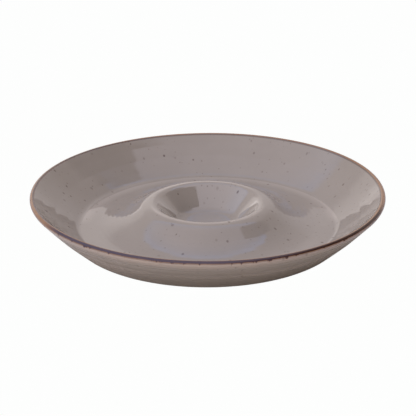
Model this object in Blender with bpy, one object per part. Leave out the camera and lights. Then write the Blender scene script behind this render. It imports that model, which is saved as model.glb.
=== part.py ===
"""Chip and dip platter: a round fired clay dish with a raised dip well in the middle.

The clay body is one turned piece. Four thin fired coats lie on it: the upper glaze, the rim
band, the wall glaze and the base glaze. Only the foot ring is left bare.
Metres, +Z up. The origin is on the table, at the centre of the foot ring.
"""

import math

import bmesh
import bpy
from mathutils import Vector

# Rim and walls, as finished
RIM_RADIUS = 0.1500
RIM_HEIGHT = 0.0380
RIM_THICKNESS = 0.0046
OUTER_WALL_RUN = 0.0345
OUTER_WALL_BOW = 0.0005
INNER_WALL_RUN = 0.0390
INNER_WALL_BOW = 0.0010
WALL_SWEEP = 0.150

# Floor and foot
FLOOR_THICKNESS = 0.0052
FOOT_DEPTH = 0.0027
FOOT_WIDTH = 0.0070
FOOT_RAKE = 0.0020
FOOT_EDGE = 0.0008
CHANNEL_FILLET = 0.0090

# Mound and dip well
MOUND_HEIGHT = 0.0178
MOUND_SLOPE = math.radians(35.6)
MOUND_THICKNESS = 0.0060
MOUND_FILLET = 0.0580
LIP_RADIUS = 0.0441
LIP_WIDTH = 0.0090
LIP_FILLET = 0.0045
SHOULDER_FILLET = 0.0180
WELL_CLEARANCE = 0.0010
WELL_SLOPE = math.radians(71.0)
WELL_FILLET = 0.0240
HOLLOW_FILLET = 0.0045
UNDER_FILLET = 0.0080

# Coats
COAT_THICKNESS = 0.0005
COAT_GAP = 0.0003
FOOT_GLAZE_LINE = 0.0012

# Smoothness of the turned solids
SEGMENTS = 40
ARC_STEP = math.radians(20.0)
CHORD_ERROR = 0.0003
WELD_DISTANCE = 1e-6
SHARP_ANGLE = math.radians(40.0)

# Colours, linear, with roughness
CLAY = ((0.270, 0.170, 0.110), 0.75)
TAUPE = ((0.330, 0.285, 0.265), 0.10)
BROWN = ((0.300, 0.190, 0.130), 0.30)
OLIVE = ((0.240, 0.205, 0.180), 0.25)

# Heights and radii that follow from the sizes above
CHANNEL_HEIGHT = FOOT_DEPTH + FLOOR_THICKNESS
CHANNEL_RADIUS = RIM_RADIUS - INNER_WALL_RUN
LIP_HEIGHT = CHANNEL_HEIGHT + MOUND_HEIGHT
SHOULDER_RADIUS = LIP_RADIUS + LIP_WIDTH
MOUND_RADIUS = SHOULDER_RADIUS + MOUND_HEIGHT / math.tan(MOUND_SLOPE)
WELL_HEIGHT = WELL_CLEARANCE + FLOOR_THICKNESS
WELL_RADIUS = LIP_RADIUS - (LIP_HEIGHT - WELL_HEIGHT) / math.tan(WELL_SLOPE)
WALL_FOOT_RADIUS = RIM_RADIUS - OUTER_WALL_RUN
RIM_ROUND = RIM_THICKNESS / 2
RIM_CENTRE = Vector((RIM_RADIUS - RIM_ROUND, RIM_HEIGHT - RIM_ROUND))
COAT_DEPTH = COAT_THICKNESS + COAT_GAP


def clear_scene():
    for old in list(bpy.data.objects):
        bpy.data.objects.remove(old)


def along(start, end, length):
    """The point that lies length from start on the way to end."""
    return start + (end - start).normalized() * length


def at_height(first, second, height):
    """The point of the straight line through two points that has this height."""
    share = (height - first.y) / (second.y - first.y)
    return first + (second - first) * share


def crossing(one, other):
    """Where two straight lines meet, each given as two points."""
    way = one[1] - one[0]
    other_way = other[1] - other[0]
    share = (other[0] - one[0]).cross(other_way) / way.cross(other_way)
    return one[0] + way * share


def inset(line, depth):
    """The line moved sideways by depth, to the right of its own direction."""
    sides = []
    for first, second in zip(line, line[1:]):
        way = (second - first).normalized()
        sides.append(Vector((way.y, -way.x)))
    moved = []
    for i, point in enumerate(line):
        before = sides[max(i - 1, 0)]
        after = sides[min(i, len(sides) - 1)]
        mitre = (before + after).normalized()
        moved.append(point + mitre * (depth / mitre.dot(after)))
    return moved


def arc(centre, radius, first_angle, last_angle):
    """Points of a circle between two angles, both ends included."""
    step = min(ARC_STEP, 2 * math.acos(1 - CHORD_ERROR / radius))
    steps = max(2, math.ceil(abs(last_angle - first_angle) / step))
    turn = (last_angle - first_angle) / steps
    angles = [first_angle + turn * i for i in range(steps + 1)]
    return [centre + radius * Vector((math.cos(a), math.sin(a))) for a in angles]


def tangent_point(start, centre, radius, side):
    """Where the line from start touches a circle, on its left (side 1) or its right (side -1)."""
    to_centre = centre - start
    reach = math.sqrt(to_centre.length_squared - radius**2)
    swing = side * math.asin(radius / to_centre.length)
    heading = math.atan2(to_centre.y, to_centre.x) + swing
    return start + reach * Vector((math.cos(heading), math.sin(heading)))


def fillet_reach(before, corner, after, radius):
    """How far a fillet's ends lie from the corner that it rounds."""
    opening = (before - corner).angle(after - corner)
    return radius / math.tan(opening / 2)


def filleted_corner(before, corner, after, reach):
    """The arc that leaves both sides of a corner at this distance from it."""
    to_before = (before - corner).normalized()
    to_after = (after - corner).normalized()
    half_opening = to_before.angle(to_after) / 2
    radius = reach * math.tan(half_opening)
    centre = corner + (to_before + to_after).normalized() * (reach / math.cos(half_opening))
    start = corner + to_before * reach - centre
    end = corner + to_after * reach - centre
    first_angle = math.atan2(start.y, start.x)
    turn = math.atan2(start.cross(end), start.dot(end))
    return arc(centre, radius, first_angle, first_angle + turn)


def rounded(corners):
    """A line through (point, fillet radius) corners. Fillets that meet share a short side."""
    points = [point for point, _ in corners]
    last = len(points) - 1
    reaches = [0.0] * len(points)
    for i in range(1, last):
        reaches[i] = fillet_reach(points[i - 1], points[i], points[i + 1], corners[i][1])
    shares = [1.0] * len(points)
    for i in range(last):
        side = (points[i + 1] - points[i]).length
        wanted = reaches[i] + reaches[i + 1]
        if wanted > side:
            shares[i] = min(shares[i], side / wanted)
            shares[i + 1] = min(shares[i + 1], side / wanted)
    line = [points[0]]
    for i in range(1, last):
        reach = reaches[i] * shares[i]
        line += filleted_corner(points[i - 1], points[i], points[i + 1], reach)
    line.append(points[last])
    pairs = zip(line, line[1:])
    return line[:1] + [end for start, end in pairs if (end - start).length > WELD_DISTANCE]


def wall_knee(foot, top, bow):
    """The corner whose fillet makes a wall bulge out by bow between foot and top."""
    way = (top - foot).normalized()
    return (foot + top) / 2 + Vector((way.y, -way.x)) * (2 * bow)


def upper_corners():
    """Corners of the finished upper face, from the middle of the well to the rim's round."""
    channel = Vector((CHANNEL_RADIUS, CHANNEL_HEIGHT))
    chord_top = tangent_point(channel, RIM_CENTRE, RIM_ROUND, 1)
    knee = wall_knee(channel, chord_top, INNER_WALL_BOW)
    return [
        (Vector((0.0, WELL_HEIGHT)), 0.0),
        (Vector((WELL_RADIUS, WELL_HEIGHT)), WELL_FILLET),
        (Vector((LIP_RADIUS, LIP_HEIGHT)), LIP_FILLET),
        (Vector((SHOULDER_RADIUS, LIP_HEIGHT)), SHOULDER_FILLET),
        (Vector((MOUND_RADIUS, CHANNEL_HEIGHT)), MOUND_FILLET),
        (channel, CHANNEL_FILLET),
        (knee, WALL_SWEEP),
        (tangent_point(knee, RIM_CENTRE, RIM_ROUND, 1), 0.0),
    ]


def outer_corners():
    """Corners of the finished outer wall, from the rim's round down to the table."""
    foot = Vector((WALL_FOOT_RADIUS, 0.0))
    chord_top = tangent_point(foot, RIM_CENTRE, RIM_ROUND, -1)
    knee = wall_knee(foot, chord_top, OUTER_WALL_BOW)
    return [
        (tangent_point(knee, RIM_CENTRE, RIM_ROUND, -1), 0.0),
        (knee, WALL_SWEEP),
        (foot, 0.0),
    ]


def rim_line():
    """The rim's round, from the inner wall over the top to the outer wall."""
    start = upper_corners()[-1][0] - RIM_CENTRE
    end = outer_corners()[0][0] - RIM_CENTRE
    first_angle = math.atan2(start.y, start.x)
    last_angle = math.atan2(end.y, end.x)
    return arc(RIM_CENTRE, RIM_ROUND, first_angle, last_angle)


def foot_outer_point():
    """Where the bare clay of the outer wall meets the table."""
    wall = rounded(outer_corners())
    bare = inset(wall[-2:], COAT_DEPTH)
    return at_height(bare[0], bare[1], 0.0)


def under_corners():
    """Corners of the finished underside, from the middle out to the foot's inner edge."""
    points = [point for point, _ in upper_corners()]
    middle, well, lip, shoulder, mound, channel, *_ = points
    well_floor = inset([middle, well], FLOOR_THICKNESS)
    well_wall = inset([well, lip], MOUND_THICKNESS)
    flank = inset([shoulder, mound], MOUND_THICKNESS)
    floor = inset([mound, channel], FLOOR_THICKNESS)
    foot = foot_outer_point() - Vector((FOOT_WIDTH, 0.0))
    return [
        (well_floor[0], 0.0),
        (crossing(well_floor, well_wall), UNDER_FILLET),
        (crossing(well_wall, flank), HOLLOW_FILLET),
        (crossing(flank, floor), UNDER_FILLET),
        (Vector((foot.x - FOOT_RAKE, FOOT_DEPTH)), FOOT_EDGE),
        (foot, 0.0),
    ]


def body_outline():
    """The clay alone: over the top, round the rim, under the foot and back to the middle."""
    top = rounded(upper_corners())[:-1] + rim_line() + rounded(outer_corners())[1:]
    bare_top = inset(top, COAT_DEPTH)
    bare_under = inset(rounded(under_corners()), -COAT_DEPTH)
    inner_foot = at_height(bare_under[-2], bare_under[-1], 0.0)
    foot = rounded(
        [
            (bare_top[-2], 0.0),
            (foot_outer_point(), FOOT_EDGE),
            (inner_foot, FOOT_EDGE),
            (bare_under[-2], 0.0),
        ]
    )
    return bare_top[:-2] + foot + bare_under[-3::-1]


def coat_outline(face):
    """A coat whose outer face is this line, with the clay on the line's right."""
    return face + inset(face, COAT_THICKNESS)[::-1]


def upper_glaze_outline():
    corners = upper_corners()
    knee = corners[-2][0]
    edge = corners[-1][0]
    corners[-1] = (along(edge, knee, COAT_GAP), 0.0)
    return coat_outline(rounded(corners))


def wall_glaze_outline():
    corners = outer_corners()
    top, knee, foot = [point for point, _ in corners]
    corners[0] = (along(top, knee, COAT_GAP), 0.0)
    corners[-1] = (at_height(knee, foot, FOOT_GLAZE_LINE), 0.0)
    return coat_outline(rounded(corners))


def base_glaze_outline():
    corners = under_corners()
    recess_edge = corners[-2][0]
    foot = corners[-1][0]
    corners[-1] = (at_height(recess_edge, foot, FOOT_GLAZE_LINE), 0.0)
    face = rounded(corners)
    return inset(face, -COAT_THICKNESS) + face[::-1]


def finish(name, colour_and_roughness):
    colour, roughness = colour_and_roughness
    material = bpy.data.materials.new(name)
    material.use_nodes = True
    shader = material.node_tree.nodes["Principled BSDF"]
    shader.inputs["Base Color"].default_value = (*colour, 1.0)
    shader.inputs["Roughness"].default_value = roughness
    shader.inputs["Metallic"].default_value = 0.0
    return material


def turned(name, outline, is_ring, look, parent):
    """One solid turned about the Z axis. A ring's outline closes on itself, off the axis."""
    form = bmesh.new()
    points = [form.verts.new((point.x, 0.0, point.y)) for point in outline]
    ends = points[1:] + points[:1] if is_ring else points[1:]
    edges = [form.edges.new(pair) for pair in zip(points, ends)]
    bmesh.ops.spin(
        form,
        geom=points + edges,
        cent=(0.0, 0.0, 0.0),
        axis=(0.0, 0.0, 1.0),
        angle=math.tau,
        steps=SEGMENTS,
        use_merge=True,
    )
    bmesh.ops.remove_doubles(form, verts=form.verts, dist=WELD_DISTANCE)
    bmesh.ops.recalc_face_normals(form, faces=form.faces)
    mesh = bpy.data.meshes.new(name)
    form.to_mesh(mesh)
    form.free()
    mesh.shade_smooth()
    mesh.set_sharp_from_angle(angle=SHARP_ANGLE)
    mesh.materials.append(look)
    piece = bpy.data.objects.new(name, mesh)
    piece.parent = parent
    bpy.context.scene.collection.objects.link(piece)
    return piece


def main():
    clear_scene()
    platter = bpy.data.objects.new("platter", None)
    bpy.context.scene.collection.objects.link(platter)
    clay = finish("bare_clay", CLAY)
    taupe = finish("taupe_gloss_glaze", TAUPE)
    brown = finish("brown_edge_stain", BROWN)
    olive = finish("olive_wall_glaze", OLIVE)
    turned("clay_body", body_outline(), False, clay, platter)
    turned("upper_glaze", upper_glaze_outline(), False, taupe, platter)
    turned("rim_band", coat_outline(rim_line()), True, brown, platter)
    turned("wall_glaze", wall_glaze_outline(), True, olive, platter)
    turned("base_glaze", base_glaze_outline(), False, taupe, platter)


main()
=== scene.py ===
"""Finished look of a round chip and dip platter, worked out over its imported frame.

The clay and its four fired coats are turned again as fine surfaces in the places of their solids,
and shader nodes give them their glazes, the brown edge, the iron specks and the bare foot.
Metres, +Z up. The origin is on the table, under the middle of the dish.
"""

import logging
import math
from dataclasses import dataclass, field
from enum import Enum
from functools import cached_property, reduce
from typing import Sequence

import bpy
import numpy as np
from mathutils import Matrix, Vector


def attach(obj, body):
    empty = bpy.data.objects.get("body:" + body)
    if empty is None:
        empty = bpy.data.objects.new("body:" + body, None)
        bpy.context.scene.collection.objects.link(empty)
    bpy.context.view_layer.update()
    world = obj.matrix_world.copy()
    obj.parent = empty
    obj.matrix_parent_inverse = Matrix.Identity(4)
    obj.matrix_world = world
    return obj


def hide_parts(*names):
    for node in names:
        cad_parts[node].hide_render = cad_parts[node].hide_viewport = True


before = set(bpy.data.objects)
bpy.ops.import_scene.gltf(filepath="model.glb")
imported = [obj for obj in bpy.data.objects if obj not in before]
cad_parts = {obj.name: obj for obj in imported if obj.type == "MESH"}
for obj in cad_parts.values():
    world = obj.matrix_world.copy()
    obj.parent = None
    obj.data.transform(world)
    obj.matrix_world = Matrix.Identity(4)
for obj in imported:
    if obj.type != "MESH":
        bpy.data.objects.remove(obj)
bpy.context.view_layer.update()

Points = np.ndarray
Pair = tuple[float, float]
Triple = tuple[float, float, float]
Colour = Triple
Socket = bpy.types.NodeSocket
Outputs = bpy.types.NodeOutputs
LOG = logging.getLogger("platter")
IMAGE_SIDE = 416


class Coat(Enum):
    """The platter's pieces, each with its CAD node and its slot in the record."""

    CLAY = ("clay_body", "bare_clay")
    UPPER = ("upper_glaze", "upper_glaze")
    RIM = ("rim_band", "rim_band")
    WALL = ("wall_glaze", "wall_glaze")
    BASE = ("base_glaze", "base_glaze")

    @property
    def node(self) -> str:
        """Name of the CAD node that the piece stands for."""
        return self.value[0]

    @property
    def slot(self) -> str:
        """Name of the record's material slot."""
        return self.value[1]


# Outlines


@dataclass(frozen=True)
class Corner:
    """A corner of a turned outline: its radius, its height and the fillet that rounds it."""

    r: float
    z: float
    fillet: float = 0.0


def unit(ways: Points) -> Points:
    """Vectors, in the last axis, divided by their lengths."""
    return ways / np.linalg.norm(ways, axis=-1, keepdims=True)


def right_of(line: Points) -> Points:
    """Unit normals to the right of each side of a line, (dz, -dr) over the side's length."""
    way = unit(np.diff(line, axis=0))
    return np.stack((way[:, 1], -way[:, 0]), axis=1)


def lengths_along(line: Points) -> Points:
    """How far each point of a line lies from its start, the sum of the sides before it."""
    return np.insert(np.cumsum(np.linalg.norm(np.diff(line, axis=0), axis=1)), 0, 0.0)


def inset(line: Points, depth: float) -> Points:
    """A line moved sideways, each point along the mitre of its two sides.

    The step at a point is depth / cos(half the turn), so both sides move by depth exactly.

    Args:
        line: Outline points, (n, 2).
        depth: How far the line moves to the right of its own direction.

    Returns:
        The moved points, (n, 2).
    """
    sides = right_of(line)
    before = np.concatenate((sides[:1], sides))
    after = np.concatenate((sides, sides[-1:]))
    mitre = unit(before + after)
    return line + mitre * (depth / np.sum(mitre * after, axis=1, keepdims=True))


def arc(centre: Points, radius: float, first: float, last: float, step: float) -> Points:
    """Points of a circle, centre + radius (cos t, sin t), from one angle to another.

    Args:
        centre: Middle of the circle.
        radius: Its radius.
        first: Angle of the first point.
        last: Angle of the last point.
        step: Largest angle between neighbours.

    Returns:
        The points, both ends included.
    """
    count = max(2, math.ceil(abs(last - first) / step)) + 1
    turn = np.linspace(first, last, count)
    return centre + radius * np.stack((np.cos(turn), np.sin(turn)), axis=1)


def divided(line: Points, spacing: float) -> Points:
    """A line with its long sides cut into equal shares no longer than spacing.

    Args:
        line: Outline points, (n, 2).
        spacing: Longest side of the result.

    Returns:
        The points of the finer line.
    """
    step = np.diff(line, axis=0)
    counts = np.maximum(1, np.ceil(np.linalg.norm(step, axis=1) / spacing)).astype(int)
    side = np.repeat(np.arange(len(counts)), counts)
    order = np.arange(counts.sum()) - np.repeat(np.cumsum(counts) - counts, counts)
    share = (order / counts[side])[:, None]
    return np.concatenate((line[side] + step[side] * share, line[-1:]))


def rounded(corners: Sequence[Corner], step: float) -> Points:
    """A line through corners, each replaced by the arc that touches both of its sides.

    A fillet of radius f leaves the corner's sides f / tan(half opening) away from the corner.
    Two fillets that meet on a short side share it in proportion.

    Args:
        corners: The corners in order, the two ends unrounded.
        step: Largest angle between neighbours on an arc.

    Returns:
        The points of the rounded line.
    """
    points = np.array([(corner.r, corner.z) for corner in corners])
    back = unit(points[:-2] - points[1:-1])
    ahead = unit(points[2:] - points[1:-1])
    half = np.arccos(np.clip(np.sum(back * ahead, axis=1), -1.0, 1.0)) / 2
    reach = np.zeros(len(points))
    reach[1:-1] = [corner.fillet for corner in corners[1:-1]] / np.tan(half)
    lengths = np.linalg.norm(np.diff(points, axis=0), axis=1)
    wanted = np.maximum(reach[:-1] + reach[1:], 1e-9)
    share = np.minimum(1.0, lengths / wanted)
    reach = reach * np.minimum(np.append(share, 1.0), np.insert(share, 0, 1.0))
    reach = reach[1:-1, None]
    radius = reach[:, 0] * np.tan(half)
    centre = points[1:-1] + unit(back + ahead) * (reach / np.cos(half)[:, None])
    start = points[1:-1] + back * reach - centre
    end = points[1:-1] + ahead * reach - centre
    first = np.arctan2(start[:, 1], start[:, 0])
    cross = start[:, 0] * end[:, 1] - start[:, 1] * end[:, 0]
    last = first + np.arctan2(cross, np.sum(start * end, axis=1))
    arcs = [arc(*one, step) for one in zip(centre, radius, first, last)]
    line = np.concatenate((points[:1], *arcs, points[-1:]))
    apart = np.linalg.norm(np.diff(line, axis=0), axis=1) > 1e-7
    return line[np.insert(apart, 0, True)]


def touching(start: Points, centre: Points, radius: float, side: int) -> Points:
    """Where the straight line from a point touches a circle.

    Args:
        start: The point that the line comes from.
        centre: Middle of the circle.
        radius: Its radius.
        side: 1 for the touch on the left of the way to the circle, -1 for the right.

    Returns:
        The point of touch.
    """
    way = centre - start
    far = math.hypot(*way)
    heading = math.atan2(way[1], way[0]) + side * math.asin(radius / far)
    return start + math.sqrt(far**2 - radius**2) * np.array((math.cos(heading), math.sin(heading)))


def meeting(one: Points, other: Points) -> Points:
    """Where two straight lines meet, each given as two points."""
    ways = np.stack((one[1] - one[0], other[0] - other[1]), axis=1)
    return one[0] + (one[1] - one[0]) * np.linalg.solve(ways, other[0] - one[0])[0]


def at_height(line: Points, height: float) -> Points:
    """The point of a straight line, given as two points, that has this height."""
    return line[0] + (line[1] - line[0]) * ((height - line[0, 1]) / (line[1, 1] - line[0, 1]))


@dataclass(frozen=True)
class DishForm:
    """Sizes of the dish as fired and glazed, and the lines of its outline.

    The well's sizes are those of its upper side. The hollow's shape its underside, as in the solid.
    """

    rim_radius: float = 0.1500
    rim_height: float = 0.0380
    rim_thickness: float = 0.0046
    outer_run: float = 0.0345
    outer_bow: float = 0.0005
    inner_run: float = 0.0390
    inner_bow: float = 0.0010
    sweep: float = 0.150
    floor_thickness: float = 0.0052
    foot_depth: float = 0.0027
    foot_width: float = 0.0070
    foot_rake: float = 0.0020
    foot_edge: float = 0.0008
    channel_fillet: float = 0.0090
    mound_height: float = 0.0178
    mound_slope: float = math.radians(35.6)
    mound_thickness: float = 0.0060
    mound_fillet: float = 0.0580
    lip_radius: float = 0.04433
    lip_width: float = 0.00877
    lip_fillet: float = 0.0070
    shoulder_fillet: float = 0.0180
    well_clearance: float = 0.0010
    well_slope: float = math.radians(46.0)
    well_fillet: float = 0.0120
    hollow_radius: float = 0.0441
    hollow_slope: float = math.radians(71.0)
    hollow_fillet: float = 0.0045
    under_fillet: float = 0.0080
    coat: float = 0.0005
    bed: float = 0.0003
    bare_foot: float = 0.0012
    arc_step: float = math.radians(5.0)

    @property
    def channel_height(self) -> float:
        """Height of the chip channel's floor."""
        return self.foot_depth + self.floor_thickness

    @property
    def lip_height(self) -> float:
        """Height of the dip well's lip."""
        return self.channel_height + self.mound_height

    @property
    def well_height(self) -> float:
        """Height of the dip well's floor."""
        return self.well_clearance + self.floor_thickness

    @property
    def rim_round(self) -> float:
        """Radius of the rim's round."""
        return self.rim_thickness / 2

    @property
    def rim_centre(self) -> Points:
        """Middle of the rim's round, as radius and height."""
        return np.array((self.rim_radius, self.rim_height)) - self.rim_round

    def knee(self, foot: Points, top: Points, bow: float) -> Points:
        """The corner whose wide fillet bows a wall out by bow between its foot and its top."""
        return (foot + top) / 2 + right_of(np.stack((foot, top)))[0] * (2 * bow)

    def wall_corners(self, foot: Points, bow: float, side: int) -> list[Corner]:
        """A wall from its foot to where it runs into the rim's round.

        Args:
            foot: Lower end of the wall.
            bow: How far the wall bulges.
            side: 1 for the inner wall, -1 for the outer one.

        Returns:
            The knee and the upper end.
        """
        chord_top = touching(foot, self.rim_centre, self.rim_round, side)
        knee = self.knee(foot, chord_top, bow)
        top = touching(knee, self.rim_centre, self.rim_round, side)
        return [Corner(*knee, self.sweep), Corner(*top)]

    def upper_corners(self) -> list[Corner]:
        """Corners of the upper face.

        Returns:
            The corners from the middle of the well out to the rim's round.
        """
        shoulder = self.lip_radius + self.lip_width
        mound = shoulder + self.mound_height / math.tan(self.mound_slope)
        well = self.lip_radius - (self.lip_height - self.well_height) / math.tan(self.well_slope)
        channel = Corner(self.rim_radius - self.inner_run, self.channel_height, self.channel_fillet)
        foot = np.array((channel.r, channel.z))
        return [
            Corner(0.0, self.well_height),
            Corner(well, self.well_height, self.well_fillet),
            Corner(self.lip_radius, self.lip_height, self.lip_fillet),
            Corner(shoulder, self.lip_height, self.shoulder_fillet),
            Corner(mound, self.channel_height, self.mound_fillet),
            channel,
            *self.wall_corners(foot, self.inner_bow, 1),
        ]

    def outer_corners(self) -> list[Corner]:
        """Corners of the outer wall.

        Returns:
            The corners from the rim's round down to the table.
        """
        foot = np.array((self.rim_radius - self.outer_run, 0.0))
        knee, top = self.wall_corners(foot, self.outer_bow, -1)
        return [top, knee, Corner(*foot)]

    def upper_line(self) -> Points:
        """The upper face, from the middle of the well out to the rim's round."""
        return rounded(self.upper_corners(), self.arc_step)

    def outer_line(self) -> Points:
        """The outer wall, from the rim's round down to the table."""
        return rounded(self.outer_corners(), self.arc_step)

    def rim_line(self) -> Points:
        """The rim's round, an arc between the ends of the two walls.

        Returns:
            Points from the inner wall over the top to the outer wall.
        """
        start = self.upper_line()[-1] - self.rim_centre
        end = self.outer_line()[0] - self.rim_centre
        first = math.atan2(start[1], start[0])
        last = math.atan2(end[1], end[0])
        return arc(self.rim_centre, self.rim_round, first, last, self.arc_step)

    def bare_wall_foot(self) -> Points:
        """Where the clay of the outer wall, without its glaze, meets the table."""
        return at_height(inset(self.outer_line()[-2:], self.coat + self.bed), 0.0)

    def under_line(self) -> Points:
        """The underside: the upper face's sides moved down by their thickness and rounded again.

        Returns:
            Points from its middle out to the inner edge of the foot ring.
        """
        points = [np.array((corner.r, corner.z)) for corner in self.upper_corners()]
        middle, well, _, shoulder, mound, channel, *_ = points
        edge = np.array((self.hollow_radius, self.lip_height))
        steep = np.stack((edge - (math.cos(self.hollow_slope), math.sin(self.hollow_slope)), edge))
        well_floor = inset(np.stack((middle, well)), self.floor_thickness)
        well_wall = inset(steep, self.mound_thickness)
        flank = inset(np.stack((shoulder, mound)), self.mound_thickness)
        floor = inset(np.stack((mound, channel)), self.floor_thickness)
        foot = self.bare_wall_foot() - (self.foot_width, 0.0)
        corners = [
            Corner(*well_floor[0]),
            Corner(*meeting(well_floor, well_wall), self.under_fillet),
            Corner(*meeting(well_wall, flank), self.hollow_fillet),
            Corner(*meeting(flank, floor), self.under_fillet),
            Corner(foot[0] - self.foot_rake, self.foot_depth, self.foot_edge),
            Corner(*foot),
        ]
        return rounded(corners, self.arc_step)

    def clay_outline(self) -> Points:
        """The clay alone, which lies a coat and its bed inside the glazed surface.

        Returns:
            Points over the top, round the rim, under the foot and back to the middle.
        """
        depth = self.coat + self.bed
        top = np.concatenate((self.upper_line()[:-1], self.rim_line(), self.outer_line()[1:]))
        bare_top = inset(top, depth)
        bare_under = inset(self.under_line(), -depth)
        foot = rounded(
            [
                Corner(*bare_top[-2]),
                Corner(*self.bare_wall_foot(), self.foot_edge),
                Corner(*at_height(bare_under[-2:], 0.0), self.foot_edge),
                Corner(*bare_under[-2]),
            ],
            self.arc_step,
        )
        return np.concatenate((bare_top[:-2], foot, bare_under[-3::-1]))


# Turned surfaces


@dataclass(frozen=True)
class Handwork:
    """How far the dish strays from a true turned shape."""

    rim_lift: float = 0.0004
    rim_lift_heading: float = math.radians(20.0)
    lift_from: float = 0.100
    lift_full: float = 0.150
    lift_height: float = 0.038
    ripple: float = 0.000010
    waves: int = 14
    shortest: float = 0.018
    longest: float = 0.070
    seed: int = 11

    def shifted(self, points: Points, rippled: Points) -> Points:
        """Points of the true shape moved as the potter's hands and the kiln left them.

        The rim lifts by rim_lift cos 2(a - heading), growing with height and with the square of the
        distance past lift_from. Where rippled is one, the height also gains a sum of plane waves
        sin(k (x cos h + y sin h) + p) of many headings h and wave lengths 2 pi / k.

        Args:
            points: True points, (..., 3).
            rippled: Share of the ripple at each point, (...).

        Returns:
            The moved points, (..., 3).
        """
        x, y, z = np.moveaxis(points, -1, 0)
        reach = (np.hypot(x, y) - self.lift_from) / (self.lift_full - self.lift_from)
        reach = np.clip(reach, 0.0, None)
        rising = np.clip(z / self.lift_height, 0.0, 1.0)
        lift = self.rim_lift * reach**2 * rising
        lift = lift * np.cos(2 * (np.arctan2(y, x) - self.rim_lift_heading))
        chance = np.random.default_rng(self.seed)
        heading = chance.uniform(0.0, math.pi, self.waves)
        pace = math.tau / np.geomspace(self.shortest, self.longest, self.waves)
        phase = chance.uniform(0.0, math.tau, self.waves)
        along = x[..., None] * np.cos(heading) + y[..., None] * np.sin(heading)
        ripple = self.ripple * np.sin(along * pace + phase).sum(axis=-1) * rippled
        return np.stack((x, y, z + lift + ripple), axis=-1)


@dataclass(frozen=True)
class TurnedOutline:
    """An outline to be turned about the Z axis, with what its points carry.

    The solid lies to the right of the line. A line that starts and ends on the axis makes a
    closed disc; a ring's line closes on itself.
    """

    line: Points
    ring: bool
    marks: dict[str, Points] = field(default_factory=dict)
    segments: int = 288
    sharp: float = math.radians(40.0)

    def grid(self) -> Points:
        """Points p(i, a) = (r_i cos a, r_i sin a, z_i) for every outline point and angle.

        Returns:
            The points, (rows, segments, 3).
        """
        angle = np.arange(self.segments) * (math.tau / self.segments)
        r, z = self.line[:, 0, None], self.line[:, 1, None]
        return np.stack((r * np.cos(angle), r * np.sin(angle), z + 0.0 * angle), axis=-1)

    def faces(self) -> tuple[Points, Points]:
        """Quads between neighbouring rows, and the fans that close the two poles.

        Vertex numbers run row by row; on a disc each pole is the one vertex at its end.

        Returns:
            Quads, (n, 4), and triangles, (m, 3), both facing outwards.
        """
        rows = len(self.line) if self.ring else len(self.line) - 2
        first = 0 if self.ring else 1
        index = first + np.arange(rows * self.segments).reshape(rows, self.segments)
        near = index if self.ring else index[:-1]
        far = np.roll(index, -1, axis=0) if self.ring else index[1:]
        quads = np.stack((near, far, np.roll(far, -1, axis=1), np.roll(near, -1, axis=1)), axis=-1)
        if self.ring:
            return quads.reshape(-1, 4), np.empty((0, 3), int)
        top, bottom = index[0], index[-1]
        start = np.stack((np.zeros_like(top), top, np.roll(top, -1)), axis=-1)
        end = np.stack((np.full_like(bottom, index.max() + 1), np.roll(bottom, -1), bottom), axis=-1)
        return quads.reshape(-1, 4), np.concatenate((start, end))

    def per_vertex(self, rows: Points) -> Points:
        """Values of the rows spread over the vertices, in the order of their numbers.

        Args:
            rows: Values of each row, (rows, segments, ...).

        Returns:
            The same values, (vertices, ...), with a pole's values once.
        """
        flat = rows.reshape(-1, *rows.shape[2:])
        if self.ring:
            return flat
        last = (len(self.line) - 1) * self.segments
        return np.concatenate((flat[:1], flat[self.segments : last], flat[last : last + 1]))

    def mesh(self, name: str, handwork: Handwork) -> bpy.types.Mesh:
        """The turned surface as a closed mesh, with its marks as point attributes.

        Args:
            name: Name of the mesh.
            handwork: Moves the true points to where they really lie.

        Returns:
            The mesh, smooth but for its coat's edges.
        """
        wide = np.ones((1, self.segments))
        rippled = self.marks.get("rippled", np.zeros(len(self.line)))[:, None] * wide
        spots = self.per_vertex(handwork.shifted(self.grid(), rippled))
        quads, fans = self.faces()
        corners = np.concatenate((quads.ravel(), fans.ravel()))
        sizes = np.concatenate((np.full(len(quads), 4), np.full(len(fans), 3)))
        mesh = bpy.data.meshes.new(name)
        mesh.vertices.add(len(spots))
        mesh.vertices.foreach_set("co", spots.astype(np.float32).ravel())
        mesh.loops.add(len(corners))
        mesh.loops.foreach_set("vertex_index", corners.astype(np.int32))
        mesh.polygons.add(len(sizes))
        mesh.polygons.foreach_set("loop_start", (np.cumsum(sizes) - sizes).astype(np.int32))
        mesh.update(calc_edges=True)
        mesh.validate()
        for mark, values in self.marks.items():
            layer = mesh.attributes.new(mark, "FLOAT", "POINT")
            shares = self.per_vertex(values[:, None] * wide)
            layer.data.foreach_set("value", shares.astype(np.float32))
        mesh.shade_smooth()
        mesh.set_sharp_from_angle(angle=self.sharp)
        return mesh


# Shader nodes


def toned(colour: Colour, factor: float) -> Colour:
    """A colour made lighter or darker by a factor."""
    return tuple(factor * part for part in colour)


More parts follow.
